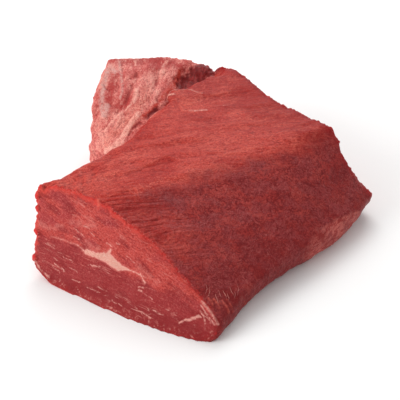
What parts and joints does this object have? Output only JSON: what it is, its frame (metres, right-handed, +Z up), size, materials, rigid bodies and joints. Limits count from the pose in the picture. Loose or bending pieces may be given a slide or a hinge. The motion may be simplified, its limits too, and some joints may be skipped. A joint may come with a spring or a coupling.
{
  "type": "bottom round roast",
  "caption": "Raw boneless beef roast: a thick slab with a sloping front and a marbled cut end, and the heel of a second muscle standing out behind.",
  "frame": {"origin": "below the middle of the box, on the flat sole that the roast lies on", "axes": "+X along the slab's grain away from its near marbled cut, +Y from its thin front edge to the heel behind, +Z up out of the sole"},
  "size_m": [0.2184, 0.2278, 0.0697],
  "materials": {
    "meat": "wet raw meat with fibres along the grain, white fat seams and thin silverskin"
  },
  "bodies": {
    "root": {"roast": "meat"}
  },
  "joints": []
}
